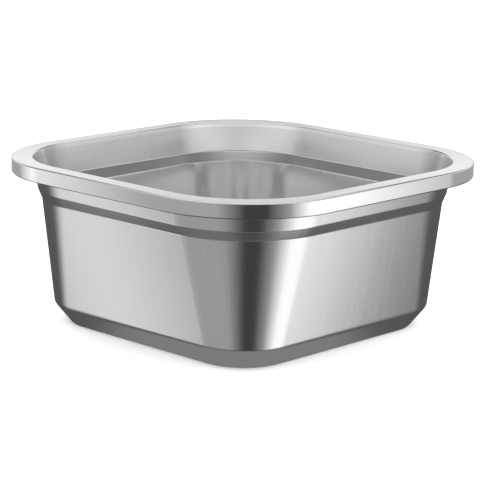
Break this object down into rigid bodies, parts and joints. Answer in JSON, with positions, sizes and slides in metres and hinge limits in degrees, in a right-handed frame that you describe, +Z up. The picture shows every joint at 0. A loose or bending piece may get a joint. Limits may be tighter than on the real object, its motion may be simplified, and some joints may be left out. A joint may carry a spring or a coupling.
{
  "type": "pedicure foot bath",
  "caption": "Square stainless steel foot bath with rounded corners, a stepped and tapered wall, a bevelled foot and a broad flat rim.",
  "frame": {"origin": "centre of the base, on the surface that the bath stands on", "axes": "+Z up, X and Y square to the four straight sides"},
  "size_m": [0.4, 0.4, 0.174],
  "materials": {
    "brushed_bowl": "stainless steel, fine brushed grain running up the walls",
    "polished_rim": "stainless steel, polished nearly to a mirror",
    "drawn_wire": "plain drawn stainless wire"
  },
  "bodies": {
    "root": {"bowl": "brushed_bowl", "rim_cap": "polished_rim", "rim_wire": "drawn_wire"}
  },
  "joints": []
}
